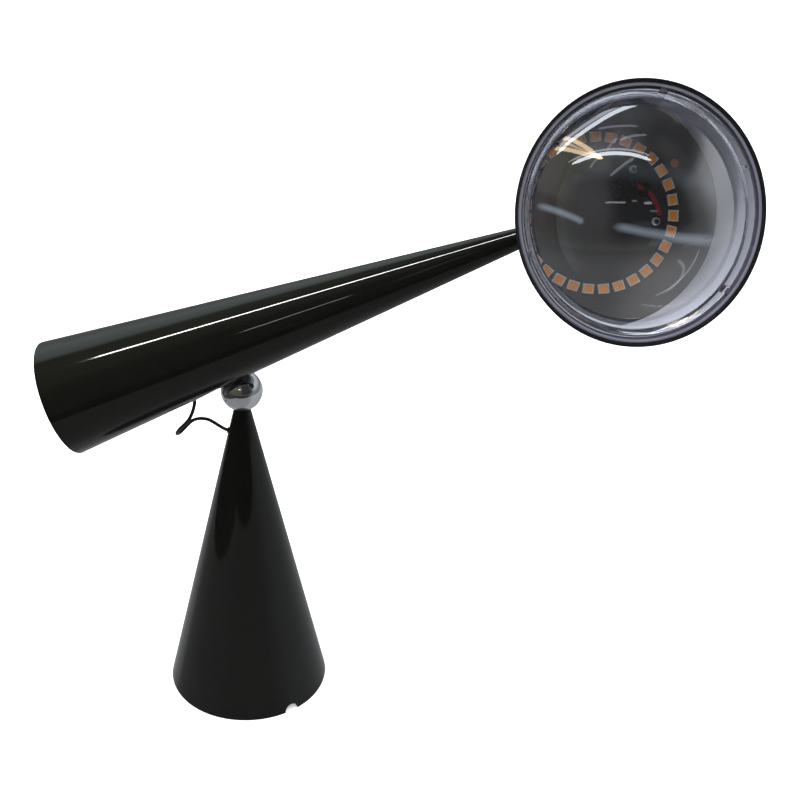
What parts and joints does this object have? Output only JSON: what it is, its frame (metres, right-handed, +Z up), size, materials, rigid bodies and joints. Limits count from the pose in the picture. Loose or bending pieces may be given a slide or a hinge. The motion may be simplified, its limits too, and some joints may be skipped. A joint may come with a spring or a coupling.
{
  "type": "task lamp",
  "caption": "Desk lamp of gloss-black cones: a long counterweighted arm balanced on a chrome ball on an upright cone base, with a round lens head on a small neck ball.",
  "frame": {"origin": "centre of the underside of the base, on the table", "axes": "+Z up; the arm lies in the XZ plane, with its wide end towards -X and the head towards +X; the lens faces -Y and up"},
  "size_m": [0.5201, 0.1829, 0.5449],
  "materials": {
    "shell": "gloss",
    "head_black": "gloss",
    "chrome": "polished",
    "pad": "matte",
    "steel": "satin",
    "board_screw": "gloss",
    "iron": "matte",
    "nylon": "satin",
    "cord": "satin",
    "aluminium": "satin",
    "magnet": "gloss",
    "driver": "satin",
    "button": "satin",
    "lens": "polished",
    "ring": "satin",
    "reflector": "satin",
    "board": "satin",
    "led": "gloss",
    "red": "satin",
    "copper": "satin"
  },
  "bodies": {
    "base": {"base_cone": "shell", "foot_pad": "pad", "base_plate": "steel", "base_screws": "steel", "ballast": "iron", "tie_rod": "steel", "rod_nut": "steel", "seat_ring": "nylon", "ball_nut": "steel", "wave_washer": "steel", "dc_inlet": "nylon", "base_lead": "cord", "base_grommet": "nylon", "link_cord_lower": "cord"},
    "ball": {"pivot_ball": "chrome"},
    "arm": {"arm_cone": "shell", "socket_cup": "aluminium", "socket_liner": "nylon", "magnet_ring": "magnet", "arm_grommet": "nylon", "counterweight": "iron", "driver_board": "driver", "rear_cap": "shell", "switch_body": "nylon", "button_spring": "steel", "arm_lead": "cord", "neck_tube": "steel", "link_cord_upper": "cord"},
    "button": {"push_button": "button"},
    "neck": {"neck_ball": "chrome"},
    "head": {"head_shade": "head_black", "lens_ring": "ring", "lens": "lens", "reflector": "reflector", "led_board": "board", "leds": "led", "board_screws": "board_screw", "wire_cover": "nylon", "red_wire": "red", "test_pad": "copper", "heat_sink": "aluminium", "cup_screws": "steel", "neck_cup": "aluminium", "neck_collar": "head_black", "tilt_pins": "steel", "neck_pad": "nylon", "back_cover": "head_black", "cover_screws": "steel"}
  },
  "joints": [
    {"name": "base_pan", "type": "hinge", "parent": "base", "child": "ball", "pos_m": [0, 0, 0.276], "axis": [0, 0, 1], "range_deg": [-60, 60], "deforming": ["link_cord_lower", "link_cord_upper"]},
    {"name": "arm_tilt", "type": "hinge", "parent": "ball", "child": "arm", "pos_m": [0, 0, 0.276], "axis": [0, 1, 0], "range_deg": [-20, 30], "deforming": ["link_cord_lower", "link_cord_upper"]},
    {"name": "head_swivel", "type": "hinge", "parent": "arm", "child": "neck", "pos_m": [0.26126, 0, 0.42821], "axis": [0.9285, 0, 0.3714], "range_deg": [-90, 90]},
    {"name": "head_tilt", "type": "hinge", "parent": "neck", "child": "head", "pos_m": [0.26126, 0, 0.42821], "axis": [0.3548, -0.2957, -0.887], "range_deg": [-50, 12]},
    {"name": "button_press", "type": "slide", "parent": "arm", "child": "button", "axis": [0.9285, 0, 0.3714], "range_m": [0, 0.0025], "stiffness_N_per_m": 600, "springref_m": -0.0025, "deforming": ["button_spring"]}
  ]
}
